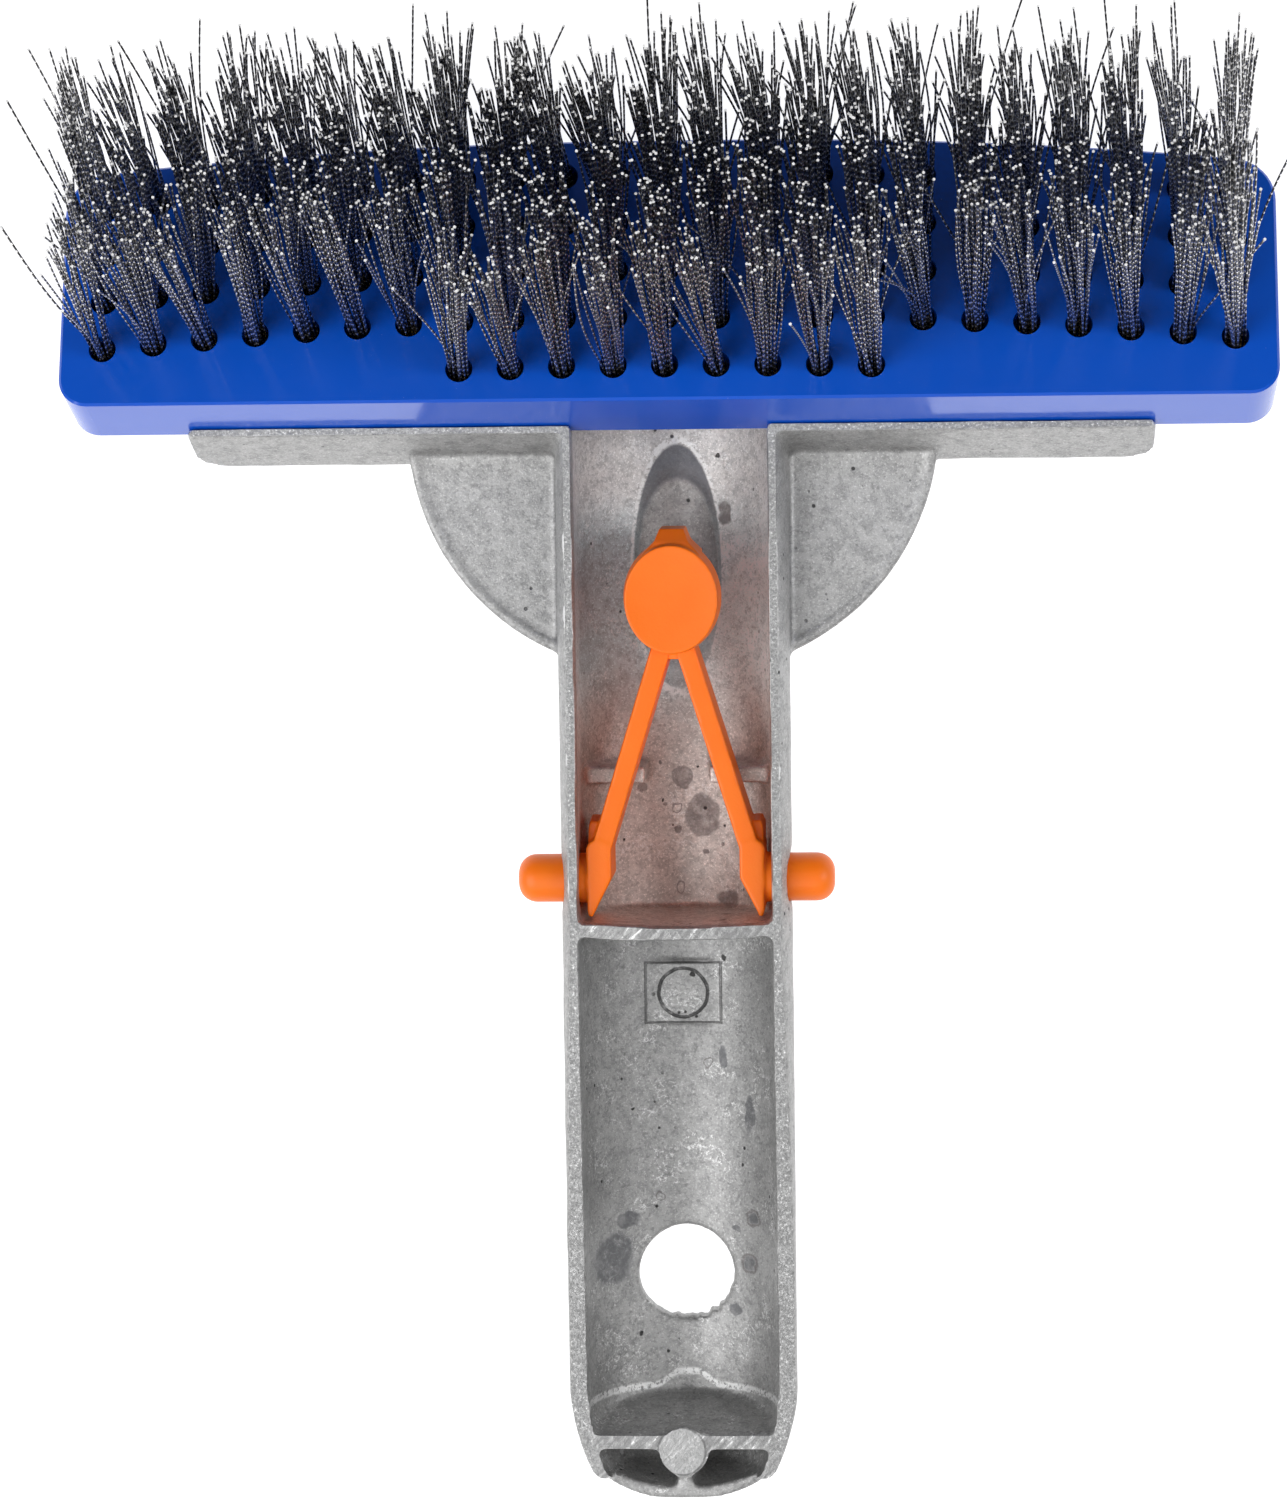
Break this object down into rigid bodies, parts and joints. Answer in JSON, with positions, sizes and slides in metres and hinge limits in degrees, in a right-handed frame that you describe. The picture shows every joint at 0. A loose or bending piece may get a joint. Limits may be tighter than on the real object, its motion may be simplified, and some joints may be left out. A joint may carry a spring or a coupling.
{
  "type": "pool wall brush",
  "caption": "Wire-bristled wall brush head with a long flat block, a half-round metal pole handle and a two-pin spring lock clip.",
  "frame": {"origin": "on the pole axis, level with the two lock pins", "axes": "+Y up the pole axis to the brush block, +X along the block, +Z out of the open side of the handle channel"},
  "size_m": [0.1468, 0.1834, 0.0646],
  "materials": {
    "cast_aluminium": "as-cast, with ground rims",
    "block_plastic": "glossy moulded",
    "bristle_wire": "crimped stainless wire",
    "staple_brass": "flat wire",
    "screw_steel": "plain",
    "clip_plastic": "satin moulded"
  },
  "bodies": {
    "head": {"handle_casting": "cast_aluminium", "brush_block": "block_plastic", "bristle_column_01": "bristle_wire", "bristle_column_02": "bristle_wire", "bristle_column_03": "bristle_wire", "bristle_column_04": "bristle_wire", "bristle_column_05": "bristle_wire", "bristle_column_06": "bristle_wire", "bristle_column_07": "bristle_wire", "bristle_column_08": "bristle_wire", "bristle_column_09": "bristle_wire", "bristle_column_10": "bristle_wire", "bristle_column_11": "bristle_wire", "bristle_column_12": "bristle_wire", "bristle_column_13": "bristle_wire", "bristle_column_14": "bristle_wire", "bristle_column_15": "bristle_wire", "bristle_column_16": "bristle_wire", "bristle_column_17": "bristle_wire", "bristle_column_18": "bristle_wire", "bristle_column_19": "bristle_wire", "bristle_column_20": "bristle_wire", "bristle_column_21": "bristle_wire", "bristle_column_22": "bristle_wire", "bristle_column_23": "bristle_wire", "staple_row_1": "staple_brass", "staple_row_2": "staple_brass", "staple_row_3": "staple_brass", "staple_row_4": "staple_brass", "staple_row_5": "staple_brass", "block_screw_1": "screw_steel", "block_screw_2": "screw_steel", "block_screw_3": "screw_steel", "block_screw_4": "screw_steel"},
    "pad": {"clip_pad": "clip_plastic"},
    "left_leg": {"clip_leg_left": "clip_plastic"},
    "right_leg": {"clip_leg_right": "clip_plastic"}
  },
  "joints": [
    {"name": "pad_slide", "type": "slide", "parent": "head", "child": "pad", "axis": [0, 1, 0], "range_m": [0, 0.0025]},
    {"name": "right_leg_flex", "type": "hinge", "parent": "pad", "child": "right_leg", "pos_m": [0.0021, 0.0266, 0], "axis": [0, 0, -1], "range_deg": [0, 10.5], "stiffness_Nm_per_rad": 0.4},
    {"name": "left_leg_flex", "type": "hinge", "parent": "pad", "child": "left_leg", "pos_m": [-0.0021, 0.0266, 0], "axis": [0, 0, 1], "range_deg": [0, 10.5]}
  ],
  "couplings": [
    {"joint": "left_leg_flex", "follows": "right_leg_flex", "ratio": 1},
    {"joint": "pad_slide", "follows": "right_leg_flex", "m_per_rad": 0.0136}
  ]
}
